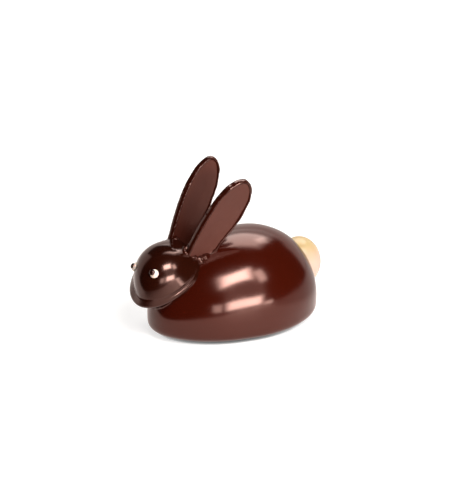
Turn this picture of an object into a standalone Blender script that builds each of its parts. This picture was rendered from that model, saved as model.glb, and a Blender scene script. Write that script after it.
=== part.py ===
"""Dark chocolate bunny, put together from moulded pieces: an egg-shaped body cut flat
underneath, a smaller half egg with a rolled brim for a head, two leaf-shaped ears, eyes of
white chocolate with dark pupils, and a ball of white chocolate for a tail.

The bunny looks along -X and stands on z = 0, with its left side to -Y. Metres throughout.
The origin is the middle of the body's flat base.
"""

import math

import bmesh
import bpy
from mathutils import Matrix, Vector

MM = 0.001

# Glued pieces keep this gap to each other
GAP = 0.3 * MM

# Body: an egg lying down, fuller and higher at the rump
BODY_LENGTH = 108.5 * MM
BODY_WIDTH = 77.3 * MM
BODY_HEIGHT = 56.6 * MM
BODY_WIDEST_AT = 11.9 * MM
BODY_RUMP_WIDER = 0.13
BODY_RUMP_HIGHER = 0.16
BODY_FOOT_SQUARENESS = 4.9
BODY_BASE_SHARE = 0.93

# Head: half an egg on a melted brim, glued to the slope of the chest and turned to one side
HEAD_LENGTH = 40.8 * MM
HEAD_WIDTH = 35.8 * MM
HEAD_RISE = 19.5 * MM
HEAD_NOSE_NARROWER = 0.10
HEAD_AT = Vector((-44.4, 0.4, 36.9)) * MM
HEAD_TURN = math.radians(26)
HEAD_NOD = math.radians(29)
HEAD_ROLL = math.radians(-1)
BRIM_REACH = 2.4 * MM
BRIM_THICKNESS = 3.4 * MM
BRIM_DROP = 1.0 * MM
BRIM_SHIFT = Vector((-0.8, 1.7, 0.0)) * MM
BRIM_LIP = 2.8 * MM
BRIM_LIP_AT = math.radians(-62)
NECK_SHARE = 0.8
NECK_DEPTH = 12 * MM

# Melted chocolate that builds the head up in front of each ear: middle, height and reach
SADDLES = (
    (Vector((19.0, 3.0, 5.0)) * MM, 3.0 * MM, 8.0 * MM),
    (Vector((14.0, -12.0, 4.0)) * MM, 2.5 * MM, 7.0 * MM),
)
SADDLE_WAY = Vector((0.85, -0.10, 0.52))

# Ears: leaf-shaped plates, nearly flat in front and rounded behind
EAR_WIDTH = 21.0 * MM
EAR_TIP_WIDER = 0.30
EAR_FOOT_BLUNTNESS = 2.8
EAR_FACE = 0.6 * MM
EAR_DISH = 0.5 * MM
EAR_LIP = 0.5 * MM
EAR_LIP_INSET = 0.8 * MM
EAR_RIM = 2.4 * MM
EAR_BACK = 6.0 * MM
EAR_MIDDLE = 0.58
EAR_LEFT_FOOT = Vector((-34.7, -7.2, 39.1)) * MM
EAR_LEFT_TIP = Vector((0.3, -18.0, 92.8)) * MM
EAR_LEFT_FACES = Vector((-0.07, -0.98, -0.20))
EAR_RIGHT_FOOT = Vector((-36.0, 11.1, 36.5)) * MM
EAR_RIGHT_TIP = Vector((-1.3, 18.0, 97.2)) * MM
EAR_RIGHT_FACES = Vector((0.14, -0.98, 0.07))

# Eyes: places in shares of the head's half length, half width and rise, and pupil offsets
EYE_WIDTH = 5.1 * MM
EYE_RISE = 1.7 * MM
PUPIL_WIDTH = 3.4 * MM
PUPIL_RISE = 1.2 * MM
EYES = {
    "left": {"place": (-0.51, -0.325), "pupil_shift": Vector((0.2, 1.1, 0.0)) * MM},
    "right": {"place": (-0.34, 0.71), "pupil_shift": Vector((0.0, -0.4, 0.0)) * MM},
}

TAIL_AT = Vector((48.0, 0.0, 27.0)) * MM
TAIL_HALF_SIZE = Vector((13.7, 13.0, 16.0)) * MM

DARK_CHOCOLATE = (0.035, 0.004, 0.001, 1.0)
EAR_CHOCOLATE = (0.045, 0.010, 0.005, 1.0)
PUPIL_CHOCOLATE = (0.02, 0.006, 0.004, 1.0)
WHITE_CHOCOLATE = (0.60, 0.45, 0.28, 1.0)
EYE_WHITE = (0.85, 0.76, 0.68, 1.0)


def clear_scene():
    for thing in list(bpy.data.objects):
        bpy.data.objects.remove(thing, do_unlink=True)


def new_collection(name):
    collection = bpy.data.collections.new(name)
    bpy.context.scene.collection.children.link(collection)
    return collection


def new_material(name, colour, roughness):
    made = bpy.data.materials.new(name)
    made.use_nodes = True
    shader = made.node_tree.nodes["Principled BSDF"]
    shader.inputs["Base Color"].default_value = colour
    shader.inputs["Roughness"].default_value = roughness
    shader.inputs["Metallic"].default_value = 0.0
    return made


def finished_mesh(name, bm, finish):
    bmesh.ops.recalc_face_normals(bm, faces=bm.faces)
    mesh = bpy.data.meshes.new(name)
    bm.to_mesh(mesh)
    bm.free()
    mesh.shade_smooth()
    mesh.materials.append(finish)
    return mesh


def ball(name, rule, around, rings, finish):
    """A closed mesh: a unit sphere with every point moved to where the rule puts it."""
    bm = bmesh.new()
    bmesh.ops.create_uvsphere(bm, u_segments=around, v_segments=rings, radius=1.0)
    for vertex in bm.verts:
        vertex.co = rule(vertex.co.copy())
    return finished_mesh(name, bm, finish)


def turned(name, profile, around, finish, rule):
    """A closed mesh turned round Z from (radius, height) points, then reshaped by the rule."""
    bm = bmesh.new()
    points = [bm.verts.new((radius, 0.0, height)) for radius, height in profile]
    edges = [bm.edges.new(pair) for pair in zip(points, points[1:])]
    bmesh.ops.spin(bm, geom=points + edges, axis=(0, 0, 1), cent=(0, 0, 0),
                   steps=around, angle=math.tau, use_merge=True)
    bmesh.ops.remove_doubles(bm, verts=bm.verts, dist=0.01 * MM)
    for vertex in bm.verts:
        vertex.co = rule(vertex.co.copy())
    return finished_mesh(name, bm, finish)


def place(name, mesh, collection, matrix=None):
    thing = bpy.data.objects.new(name, mesh)
    thing.matrix_world = matrix or Matrix.Identity(4)
    collection.objects.link(thing)
    return thing


def cut(thing, cutter):
    boolean = thing.modifiers.new("clear_of_" + cutter.name, "BOOLEAN")
    boolean.operation = "DIFFERENCE"
    boolean.solver = "EXACT"
    boolean.object = cutter


def cutter_from(thing, collection):
    """A hidden copy of a piece, swollen by the gap, that cuts the pieces glued to it."""
    cutter = place(thing.name + "_room", thing.data.copy(), collection, thing.matrix_world.copy())
    swell = cutter.modifiers.new("swell", "DISPLACE")
    swell.mid_level = 0.0
    swell.strength = GAP
    cutter.display_type = "WIRE"
    cutter.hide_render = True
    return cutter


def arc(centre, radius, start, end, steps):
    """Points of an arc as (radius, height) pairs, with its angles in degrees."""
    points = []
    for step in range(steps + 1):
        angle = math.radians(start + (end - start) * step / steps)
        points.append((centre[0] + radius * math.cos(angle), centre[1] + radius * math.sin(angle)))
    return points


def body_rule(unit):
    """Half an egg above its widest line, and an upright foot with a rounded edge below it."""
    if unit.z >= 0:
        flat_x = unit.x
        flat_y = unit.y
        rise = (BODY_HEIGHT - BODY_WIDEST_AT) * unit.z
        z = BODY_WIDEST_AT + rise * (1 + BODY_RUMP_HIGHER * unit.x)
    else:
        out = math.hypot(unit.x, unit.y)
        drop = min(1.0, -unit.z / BODY_BASE_SHARE)
        reach = (1 - (drop * 0.995) ** BODY_FOOT_SQUARENESS) ** (1 / BODY_FOOT_SQUARENESS)
        if drop == 1.0:
            reach *= out / math.sqrt(1 - BODY_BASE_SHARE ** 2)
        flat_x = unit.x / max(out, 1e-9) * reach
        flat_y = unit.y / max(out, 1e-9) * reach
        z = BODY_WIDEST_AT * (1 - drop)
    x = BODY_LENGTH / 2 * flat_x
    y = BODY_WIDTH / 2 * flat_y * (1 + BODY_RUMP_WIDER * flat_x)
    return Vector((x, y, z))


def head_profile(dome_steps, brim_steps):
    """From the crown down over the dome, round the melted brim, and in to the neck."""
    half = HEAD_LENGTH / 2
    edge = BRIM_THICKNESS / 2
    lowest = math.degrees(math.asin((edge - BRIM_DROP) / HEAD_RISE))
    profile = [(0.0, HEAD_RISE)]
    for step in range(1, dome_steps + 1):
        angle = math.radians(90 - (90 - lowest) * step / dome_steps)
        profile.append((half * math.cos(angle), HEAD_RISE * math.sin(angle)))
    profile += arc((half + BRIM_REACH - edge, -BRIM_DROP), edge, 78, -90, brim_steps)
    neck = half * NECK_SHARE
    profile += [(neck, -BRIM_DROP - edge), (neck * 0.95, -NECK_DEPTH), (0.0, -NECK_DEPTH)]
    return profile


def head_rule(point):
    """Makes the turned head an egg, its brim uneven, and builds it up towards the ears."""
    beyond = math.hypot(point.x, point.y) - HEAD_LENGTH / 2
    share = min(1.0, max(0.0, beyond / BRIM_REACH))
    angle = math.atan2(point.y, point.x)
    lip = BRIM_LIP * max(0.0, math.cos(angle - BRIM_LIP_AT)) ** 8
    taper = 1 + HEAD_NOSE_NARROWER * point.x / (HEAD_LENGTH / 2)
    egg = Vector((point.x, point.y * HEAD_WIDTH / HEAD_LENGTH * taper, point.z))
    out = Vector((math.cos(angle), math.sin(angle), 0.0))
    made = egg + (BRIM_SHIFT + out * lip) * share
    for middle, height, reach in SADDLES:
        made += SADDLE_WAY * height * math.exp(-((egg - middle).length / reach) ** 2)
    return made


def head_matrix():
    return (
        Matrix.Translation(HEAD_AT)
        @ Matrix.Rotation(HEAD_TURN, 4, "Z")
        @ Matrix.Rotation(-HEAD_NOD, 4, "Y")
        @ Matrix.Rotation(HEAD_ROLL, 4, "X")
    )


def leaf_outline(angle, length):
    """A point of the ear's outline, with X across and Y from the foot at 0 to the tip."""
    along = math.sin(angle)
    across = math.cos(angle)
    if along < 0:
        power = 2 / EAR_FOOT_BLUNTNESS
        along = -abs(along) ** power
        across = math.copysign(abs(across) ** power, across)
    across *= 1 + EAR_TIP_WIDER * along
    return Vector((EAR_WIDTH / 2 * across, length / 2 * (1 + along), 0.0))


def ear_profile():
    """From the middle of the hollow face out over the lip, round the edge, to the back."""
    inner = 10 * MM
    outer = inner + EAR_RIM
    face = EAR_FACE
    lip = outer - EAR_LIP_INSET
    return [
        (0.0, face - EAR_DISH),
        (inner * 0.5, face - EAR_DISH * 0.8),
        (inner, face - EAR_DISH * 0.3),
        (lip - 0.5 * MM, face),
        (lip, face + EAR_LIP),
        (outer - 0.2 * MM, face),
        (outer, -0.25 * EAR_BACK),
        (outer - 0.7 * MM, -0.5 * EAR_BACK),
        (inner, -0.74 * EAR_BACK),
        (inner * 0.55, -0.95 * EAR_BACK),
        (0.0, -EAR_BACK),
    ]


def ear_rule(length):
    """Spreads a turned disc over a leaf, keeping the rim equally wide all the way round."""
    inner = 10 * MM
    step = 0.01

    def rule(point):
        radius = math.hypot(point.x, point.y)
        angle = math.atan2(point.y, point.x)
        here = leaf_outline(angle, length)
        ahead = leaf_outline(angle + step, length)
        behind = leaf_outline(angle - step, length)
        inward = Vector((0, 0, 1)).cross(ahead - behind).normalized()
        inset = max(0.0, inner + EAR_RIM - max(radius, inner))
        flat = here + inward * inset
        if radius < inner:
            middle = Vector((0.0, length * EAR_MIDDLE, 0.0))
            flat = middle + (flat - middle) * (radius / inner)
        return Vector((flat.x, flat.y, point.z))
    return rule


def ear_matrix(foot, tip, faces):
    """Stands an ear on foot, pointing at tip, with its hollow side turned to faces."""
    up = (tip - foot).normalized()
    side = up.cross(faces).normalized()
    out = side.cross(up)
    return Matrix.Translation(foot) @ Matrix((side, up, out)).transposed().to_4x4()


def drop_rule(width, rise):
    """A low round drop, a little flatter underneath than on top."""
    def rule(unit):
        height = rise if unit.z >= 0 else rise * 0.6
        return Vector((width / 2 * unit.x, width / 2 * unit.y, height * unit.z))
    return rule


def tail_rule(unit):
    return Vector((unit.x * TAIL_HALF_SIZE.x, unit.y * TAIL_HALF_SIZE.y, unit.z * TAIL_HALF_SIZE.z))


def dome_point(back, out):
    """A point of the head's dome, from its shares of the half length and half width."""
    up = math.sqrt(1 - back ** 2 - out ** 2)
    width = HEAD_WIDTH / 2 * (1 + HEAD_NOSE_NARROWER * back)
    return Vector((HEAD_LENGTH / 2 * back, width * out, HEAD_RISE * up))


def eye_matrix(back, out):
    """The place on the dome where an eye sits, with Z straight out of the chocolate."""
    spot = dome_point(back, out)
    along = dome_point(back + 0.01, out) - spot
    across = dome_point(back, out + 0.01) - spot
    turn = Vector((0, 0, 1)).rotation_difference(along.cross(across)).to_matrix().to_4x4()
    return head_matrix() @ Matrix.Translation(spot) @ turn


def build():
    clear_scene()
    bunny = new_collection("dark_chocolate_bunny")
    rooms = new_collection("cutters")
    dark = new_material("dark_chocolate", DARK_CHOCOLATE, 0.2)
    satin = new_material("ear_chocolate", EAR_CHOCOLATE, 0.4)
    bead = new_material("pupil_chocolate", PUPIL_CHOCOLATE, 0.1)
    white = new_material("white_chocolate", WHITE_CHOCOLATE, 0.35)
    eye_white = new_material("eye_white", EYE_WHITE, 0.3)

    body = place("body", ball("body", body_rule, 56, 30, dark), bunny)
    body_room = cutter_from(body, rooms)

    head_mesh = turned("head", head_profile(12, 6), 48, dark, head_rule)
    head = place("head", head_mesh, bunny, head_matrix())
    head_room = cutter_from(head, rooms)
    cut(head, body_room)

    ears = {
        "ear_left": (EAR_LEFT_FOOT, EAR_LEFT_TIP, EAR_LEFT_FACES),
        "ear_right": (EAR_RIGHT_FOOT, EAR_RIGHT_TIP, EAR_RIGHT_FACES),
    }
    for name, (foot, tip, faces) in ears.items():
        mesh = turned(name, ear_profile(), 36, satin, ear_rule((tip - foot).length))
        ear = place(name, mesh, bunny, ear_matrix(foot, tip, faces))
        cut(ear, body_room)
        cut(ear, head_room)

    tail = place("tail", ball("tail", tail_rule, 28, 16, white), bunny, Matrix.Translation(TAIL_AT))
    cut(tail, body_room)

    eye_mesh = ball("eye", drop_rule(EYE_WIDTH, EYE_RISE), 20, 10, eye_white)
    pupil_mesh = ball("pupil", drop_rule(PUPIL_WIDTH, PUPIL_RISE), 14, 8, bead)
    for side, details in EYES.items():
        spot = eye_matrix(*details["place"])
        eye = place("eye_" + side, eye_mesh, bunny, spot)
        eye_room = cutter_from(eye, rooms)
        cut(eye, head_room)
        on_eye = Matrix.Translation(details["pupil_shift"] + Vector((0, 0, EYE_RISE * 0.8)))
        pupil = place("pupil_" + side, pupil_mesh, bunny, spot @ on_eye)
        cut(pupil, eye_room)
        cut(pupil, head_room)


build()
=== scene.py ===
# %% [markdown]
# # A dark chocolate bunny
#
# The bunny is put together from pieces that come out of simple moulds: half an egg for the
# body, a smaller half egg for the head, two leaf plates for the ears and a ball of white
# chocolate for the tail. Tempered chocolate copies the polish of its mould, so the body works
# almost like a dark mirror, and most of what the eye reads as its shape is the reflection of
# the lamps and of the white table. This lesson makes each piece as a fine mesh over the
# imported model, gives each chocolate its own finish, and then builds the studio that it mirrors.
#
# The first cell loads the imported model. It is the fixed frame: every piece is made in its
# place, in metres, and takes over from the plain solid that it stands for.

import math

import bmesh
import bpy
from mathutils import Matrix, Vector, noise


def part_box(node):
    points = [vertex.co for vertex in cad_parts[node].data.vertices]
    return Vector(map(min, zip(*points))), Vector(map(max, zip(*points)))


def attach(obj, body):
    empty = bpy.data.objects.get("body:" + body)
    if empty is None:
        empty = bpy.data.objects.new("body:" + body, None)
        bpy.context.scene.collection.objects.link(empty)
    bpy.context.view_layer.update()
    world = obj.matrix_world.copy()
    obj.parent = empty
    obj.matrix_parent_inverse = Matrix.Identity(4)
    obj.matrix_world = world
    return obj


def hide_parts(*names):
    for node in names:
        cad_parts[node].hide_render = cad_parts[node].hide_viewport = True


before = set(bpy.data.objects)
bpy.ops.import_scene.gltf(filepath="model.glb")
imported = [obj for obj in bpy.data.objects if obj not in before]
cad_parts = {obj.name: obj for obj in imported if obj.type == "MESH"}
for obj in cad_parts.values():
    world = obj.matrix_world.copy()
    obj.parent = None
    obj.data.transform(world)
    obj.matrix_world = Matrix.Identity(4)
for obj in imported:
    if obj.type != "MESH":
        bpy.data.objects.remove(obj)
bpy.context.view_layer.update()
MM = 0.001
print("nodes:", sorted(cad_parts))

# %% [markdown]
# ## Sizes
#
# The moulds have simple rules, and the pieces here follow the same ones as the solids: the
# body is an ellipsoid above its widest line and an upright foot below it, the head is a
# turned half egg on a thin brim. Each piece brings its named sizes along in its own cell. The
# main ones are the solids' own, and the rest shape what only shows from close by. The boxes
# of the solids are printed first, so that a piece that comes out too large or in the wrong
# place is noticed at once.

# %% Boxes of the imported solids
for node in sorted(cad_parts):
    low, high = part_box(node)
    print(node, [round((b - a) / MM, 1) for a, b in zip(low, high)], "mm")

# %% [markdown]
# ## Helpers for meshes
#
# A poured or moulded sweet is never quite true. Each surface point is moved a little along
# its normal by smooth noise, whose waves are between a rice grain and a thumb in length, so
# the lamps' reflections bend the way they do on hand-dipped chocolate.

# %% Waves and finished meshes
def wave(point, length, height, seed):
    """Smooth noise with waves of the given length, between -height and height."""
    at = point / length + Vector((seed * 7.1, seed * 3.3, seed * 1.7))
    return noise.noise(at) * height


def tell(piece):
    """Prints how many faces a piece has, and its size."""
    columns = list(zip(*(vertex.co for vertex in piece.data.vertices)))
    size = [round((max(column) - min(column)) / MM, 1) for column in columns]
    print(piece.name, "has", len(piece.data.polygons), "faces and measures", size, "mm")


def made_piece(name, bm, bumps=()):
    """Turns a bmesh into an object, with its points moved along the normals by some waves."""
    bmesh.ops.recalc_face_normals(bm, faces=bm.faces)
    bm.normal_update()
    moves = []
    for vertex in bm.verts:
        away = sum(wave(vertex.co, *bump) for bump in bumps)
        moves.append(vertex.normal * away)
    for vertex, move in zip(bm.verts, moves):
        vertex.co += move
    mesh = bpy.data.meshes.new(name)
    bm.to_mesh(mesh)
    bm.free()
    mesh.shade_smooth()
    piece = bpy.data.objects.new(name, mesh)
    bpy.context.scene.collection.objects.link(piece)
    tell(piece)
    return piece


test_point = Vector((3, 4, 5)) * MM
print("a wave 10 mm long and 1 high, at one point:", round(wave(test_point, 10 * MM, 1.0, 1.0), 3))


# %% Balls and turned shapes
WELD = 0.01 * MM


def ball(rule, around, rings, matrix=None):
    """A unit sphere with every point moved to where the rule puts it."""
    bm = bmesh.new()
    bmesh.ops.create_uvsphere(bm, u_segments=around, v_segments=rings, radius=1.0)
    for vertex in bm.verts:
        vertex.co = rule(vertex.co.copy())
    if matrix:
        bm.transform(matrix)
    return bm


def turned(profile, around, rule, matrix, finish_of=None):
    """A closed shape turned round Z from (radius, height) points, then reshaped by the rule."""
    bm = bmesh.new()
    points = [bm.verts.new((radius, 0.0, height)) for radius, height in profile]
    edges = [bm.edges.new(pair) for pair in zip(points, points[1:])]
    bmesh.ops.spin(bm, geom=points + edges, axis=(0, 0, 1), cent=(0, 0, 0),
                   steps=around, angle=math.tau, use_merge=True)
    bmesh.ops.remove_doubles(bm, verts=bm.verts, dist=WELD)
    if finish_of:
        for face in bm.faces:
            middle = face.calc_center_median()
            face.material_index = finish_of(math.hypot(middle.x, middle.y), middle.z)
    for vertex in bm.verts:
        vertex.co = rule(vertex.co.copy())
    bm.transform(matrix)
    return bm


test_ball = ball(lambda unit: unit * 5 * MM, 12, 6)
print("a test ball of", len(test_ball.faces), "faces")
test_ball.free()

# %% [markdown]
# ## Helpers for materials
#
# Colours are written as the hex values one would pick from a swatch, and turned to the
# linear numbers that the renderer uses. Patterns read Object coordinates, which are metres
# here, so a noise scale is one over the length of a whole wave, which is two blobs long.

# %% Colours and nodes
def linear(hex_colour):
    """An sRGB hex colour as linear red, green, blue and alpha."""
    parts = [int(hex_colour[i:i + 2], 16) / 255 for i in (1, 3, 5)]
    return tuple(c / 12.92 if c <= 0.04045 else ((c + 0.055) / 1.055) ** 2.4 for c in parts) + (1.0,)


def add_node(tree, kind, settings=None, inputs=None, links=None):
    """Adds a node: its settings, its inputs' values, and links from other nodes' outputs."""
    node = tree.nodes.new(kind)
    for key, value in (settings or {}).items():
        setattr(node, key, value)
    for key, value in (inputs or {}).items():
        node.inputs[key].default_value = value
    for key, output in (links or {}).items():
        tree.links.new(output, node.inputs[key])
    return node


def calc(tree, operation, *values):
    """One sum on numbers or sockets, with the result's socket."""
    node = add_node(tree, "ShaderNodeMath", {"operation": operation})
    for socket, value in zip(node.inputs, values):
        if isinstance(value, (int, float)):
            socket.default_value = value
        else:
            tree.links.new(value, socket)
    return node.outputs[0]


def new_material(name):
    """A material with its node tree and its one shader."""
    material = bpy.data.materials.new(name)
    material.use_nodes = True
    tree = material.node_tree
    return material, tree, tree.nodes["Principled BSDF"]


print("swatch #2c0702 in linear light:", [round(part, 4) for part in linear("#2c0702")])


# %% Patterns
def noise_of_size(tree, size, detail=2.0, roughness=0.5):
    """Noise whose blobs are about the given size, in metres, on Object coordinates."""
    where = add_node(tree, "ShaderNodeTexCoord")
    inputs = {"Scale": 0.5 / size, "Detail": detail, "Roughness": roughness}
    links = {"Vector": where.outputs["Object"]}
    return add_node(tree, "ShaderNodeTexNoise", inputs=inputs, links=links).outputs["Fac"]


def between(tree, factor, low, high):
    """Maps a 0 to 1 pattern to values from low to high."""
    ends = {"To Min": low, "To Max": high}
    node = add_node(tree, "ShaderNodeMapRange", inputs=ends, links={"Value": factor})
    return node.outputs["Result"]


def blend_colours(tree, factor, first, second):
    """The first colour where the factor is 0, the second where it is 1, and mixes between."""
    node = add_node(tree, "ShaderNodeMix", {"data_type": "RGBA"}, links={0: factor})
    ends = [socket for socket in node.inputs if socket.type == "RGBA"]
    ends[0].default_value = first
    ends[1].default_value = second
    return [socket for socket in node.outputs if socket.type == "RGBA"][0]


def add_bump(tree, shader, height, strength, distance):
    """Lets a height pattern tilt the light on the shader's surface."""
    inputs = {"Strength": strength, "Distance": distance}
    bump = add_node(tree, "ShaderNodeBump", inputs=inputs, links={"Height": height})
    tree.links.new(bump.outputs["Normal"], shader.inputs["Normal"])


print("a pattern of 9 mm has the noise scale", round(0.5 / (9 * MM), 1))

# %% [markdown]
# ## Helpers for Geometry Nodes
#
# Two shapes here are better written as node trees than as loops: the egg, because a formula
# on a sphere keeps its curve fair, and the beads of melted chocolate, because each one has to
# follow the surfaces that it joins. A tree gets its inputs by name, runs once, and leaves a
# plain mesh behind.

# %% Trees and the pieces that they grow
SOCKETS = {float: "NodeSocketFloat", int: "NodeSocketInt", Vector: "NodeSocketVector",
           bpy.types.Object: "NodeSocketObject", bpy.types.Material: "NodeSocketMaterial"}


def new_tree(name, inputs):
    """An empty Geometry Nodes tree with one input for every named example value."""
    tree = bpy.data.node_groups.new(name, "GeometryNodeTree")
    for label, example in inputs.items():
        tree.interface.new_socket(label, in_out="INPUT", socket_type=SOCKETS[type(example)])
    tree.interface.new_socket("Geometry", in_out="OUTPUT", socket_type="NodeSocketGeometry")
    return tree, tree.nodes.new("NodeGroupInput").outputs


def close_tree(tree, geometry, material):
    """Ends a tree: smooth shading, instances made real, and the material set."""
    smooth = add_node(tree, "GeometryNodeSetShadeSmooth", links={"Geometry": geometry})
    real = add_node(tree, "GeometryNodeRealizeInstances", links={"Geometry": smooth.outputs[0]})
    painted = add_node(tree, "GeometryNodeSetMaterial",
                       links={"Geometry": real.outputs[0], "Material": material})
    end = tree.nodes.new("NodeGroupOutput")
    tree.links.new(painted.outputs[0], end.inputs[0])


def grown_piece(name, tree, values):
    """Runs a tree on an empty mesh and keeps what it makes as a plain mesh."""
    piece = bpy.data.objects.new(name, bpy.data.meshes.new(name + "_seed"))
    bpy.context.scene.collection.objects.link(piece)
    modifier = piece.modifiers.new("grow", "NODES")
    modifier.node_group = tree
    for socket in tree.interface.items_tree:
        if socket.in_out == "INPUT":
            modifier[socket.identifier] = values[socket.name]
    shown = bpy.context.evaluated_depsgraph_get()
    mesh = bpy.data.meshes.new_from_object(piece.evaluated_get(shown), depsgraph=shown)
    piece.modifiers.remove(modifier)
    mesh.name = name
    piece.data = mesh
    tell(piece)
    return piece


print("a tree's inputs may be", sorted(kind.__name__ for kind in SOCKETS))

# %% [markdown]
# ## Dark chocolate from a polished mould
#
# Tempered dark chocolate sets with a hard cocoa butter skin. Its colour is a deep red brown,
# a little redder where the skin is thin, and its gloss varies: cleaner where the mould was
# polished, softer where it was touched. Its refraction is close to that of fat, about 1.47,
# and a little more is used here so that the lamps show as brightly as they do on the real
# piece. One Principled shader with noise in its colour, roughness and bump is enough, because
# the chocolate is opaque. The grain is drawn coarser than the real one, which is too fine to
# show.

# %% Dark chocolate
CLOUD_SIZE = 14 * MM
TOUCH_SIZE = 6 * MM
RIPPLE_SIZE = 9 * MM
GRAIN_SIZE = 0.5 * MM
CHOCOLATE_IOR = 1.5
CHOCOLATE_SHINE = 0.68
CHOCOLATE_SHINE_COLOUR = (1.0, 0.60, 0.52, 1.0)


def dark_chocolate(name, deep, warm, smooth, soft, ripple, pits):
    """Two close browns in clouds, two roughnesses where touched or not, ripples and grain."""
    material, tree, shader = new_material(name)
    clouds = noise_of_size(tree, CLOUD_SIZE, 3.0)
    colour = blend_colours(tree, clouds, linear(deep), linear(warm))
    tree.links.new(colour, shader.inputs["Base Color"])
    touched = noise_of_size(tree, TOUCH_SIZE, 4.0, 0.6)
    tree.links.new(between(tree, touched, smooth, soft), shader.inputs["Roughness"])
    ripples = calc(tree, "MULTIPLY", noise_of_size(tree, RIPPLE_SIZE, 1.0), ripple)
    grain = calc(tree, "MULTIPLY", noise_of_size(tree, GRAIN_SIZE, 2.0), pits)
    add_bump(tree, shader, calc(tree, "ADD", ripples, grain), 1.0, 1.0)
    shader.inputs["IOR"].default_value = CHOCOLATE_IOR
    shader.inputs["Specular IOR Level"].default_value = CHOCOLATE_SHINE
    shader.inputs["Specular Tint"].default_value = CHOCOLATE_SHINE_COLOUR
    return material


dark_patterns = (CLOUD_SIZE, TOUCH_SIZE, RIPPLE_SIZE, GRAIN_SIZE)
print("patterns in the dark chocolate:", [round(size / MM, 1) for size in dark_patterns], "mm")

# %% Five dark chocolates: four finishes, and a darker copy with painted shade for the head
# The mould's polish gives the body clean mirrors, slightly rippled, on a warm red brown
moulded = dark_chocolate("moulded_dark_chocolate", "#2c0702", "#330a03", 0.10, 0.20, 0.10 * MM, 0.004 * MM)
# The head's chocolate is a darker copy of the body's: painted shade that makes the head look nearly black
head_shade_chocolate = dark_chocolate("thick_dark_chocolate", "#1c0602", "#220803", 0.10, 0.20, 0.08 * MM, 0.004 * MM)
# The open face of a pour sets dull: a satin plate that only glows where a lamp is near
poured = dark_chocolate("poured_dark_chocolate", "#33130c", "#431b12", 0.28, 0.45, 0.12 * MM, 0.012 * MM)
# Melted chocolate sets with a wet shine, which puts a glint on every lump
melted = dark_chocolate("melted_dark_chocolate", "#260903", "#2c0b05", 0.08, 0.20, 0.05 * MM, 0.004 * MM)
# A piped dot is small, round and nearly black, and shows one sharp glint
glossy = dark_chocolate("piped_dark_chocolate", "#120504", "#180705", 0.06, 0.12, 0.0, 0.002 * MM)
print("dark chocolates:", moulded.name, head_shade_chocolate.name, poured.name, melted.name, glossy.name)

# %% [markdown]
# ## White chocolate
#
# White chocolate is cocoa butter, milk and sugar: cream coloured and slightly see-through, so
# light soaks in for about a millimetre. Subsurface scattering gives that soft edge, and a
# yellower cloud pattern keeps the tail from looking like plastic. Towards its top the tail is
# painted darker and yellower as shade.

# %% White chocolate
PAINTED_SHADE_REACH = 10 * MM
CREAM_CLOUD_SIZE = 8 * MM
CREAM_TOUCH_SIZE = 3 * MM
CREAM_GRAIN_SIZE = 1.2 * MM
CREAM_GRAIN_HEIGHT = 0.1 * MM
CREAM_IOR = 1.47
CREAM_SCATTER = (1.0, 0.7, 0.4)


def white_chocolate(name, pale, yellow_tone_and_shade, depth, roughness, painted_shade_above):
    """Pale chocolate with yellower clouds, and painted shade that turns it darker and yellower over the
    last centimetre up to the given height.
    """
    material, tree, shader = new_material(name)
    place = add_node(tree, "ShaderNodeSeparateXYZ",
                     links={0: tree.nodes.new("ShaderNodeTexCoord").outputs["Object"]})
    # The height paints the top darker and yellower: painted shade
    inputs = {"From Min": painted_shade_above - PAINTED_SHADE_REACH, "From Max": painted_shade_above}
    height = add_node(tree, "ShaderNodeMapRange", inputs=inputs, links={"Value": place.outputs[2]})
    cloudy = calc(tree, "MULTIPLY_ADD", noise_of_size(tree, CREAM_CLOUD_SIZE, 3.0), 0.4, -0.2)
    both = add_node(tree, "ShaderNodeMath", {"operation": "ADD", "use_clamp": True},
                    links={0: height.outputs[0], 1: cloudy})
    colour = blend_colours(tree, both.outputs[0], linear(pale), linear(yellow_tone_and_shade))
    tree.links.new(colour, shader.inputs["Base Color"])
    touched = noise_of_size(tree, CREAM_TOUCH_SIZE, 3.0)
    tree.links.new(between(tree, touched, roughness * 0.8, roughness * 1.2), shader.inputs["Roughness"])
    add_bump(tree, shader, noise_of_size(tree, CREAM_GRAIN_SIZE, 3.0), 0.3, CREAM_GRAIN_HEIGHT)
    shader.inputs["Subsurface Weight"].default_value = 0.5
    shader.inputs["Subsurface Radius"].default_value = CREAM_SCATTER
    shader.inputs["Subsurface Scale"].default_value = depth
    shader.inputs["IOR"].default_value = CREAM_IOR
    return material


white_patterns = (CREAM_CLOUD_SIZE, CREAM_TOUCH_SIZE, CREAM_GRAIN_SIZE)
print("patterns in the white chocolate:", [round(size / MM, 1) for size in white_patterns], "mm")

# %% Two finishes of white chocolate
# Moulded white chocolate is satin, and its top is painted darker and yellower as shade
tail_white = white_chocolate("moulded_white_chocolate", "#c2aa9b", "#ad966c", 1.5 * MM, 0.3, 40 * MM)
# A piped dot sits below where the painted shade starts, and is a little shinier
eye_white = white_chocolate("piped_white_chocolate", "#dccabf", "#d6c3b3", 0.6 * MM, 0.25, 60 * MM)
print("white chocolates:", tail_white.name, eye_white.name)

# %% [markdown]
# ## The body
#
# Half an egg, laid on its flat side: an ellipsoid that is a little fuller and higher at the
# rump, on an upright foot with a rounded edge. Sculpting it would leave dents that show at
# once in the reflections, so a tree moves every point of a sphere by the egg's formula. Then
# slow waves, as long as a thumb is wide, bend the reflections the way hand moulding does.

# %% The egg as a node tree
WAVES_END_BELOW = 4 * MM
EGG_INPUTS = {
    "Length": 0.0, "Width": 0.0, "Height": 0.0, "Widest At": 0.0, "Rump Wider": 0.0,
    "Rump Higher": 0.0, "Foot Squareness": 0.0, "Wave Length": 0.0, "Wave Height": 0.0,
    "Around": 0, "Rings": 0, "Chocolate": moulded,
}


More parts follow.
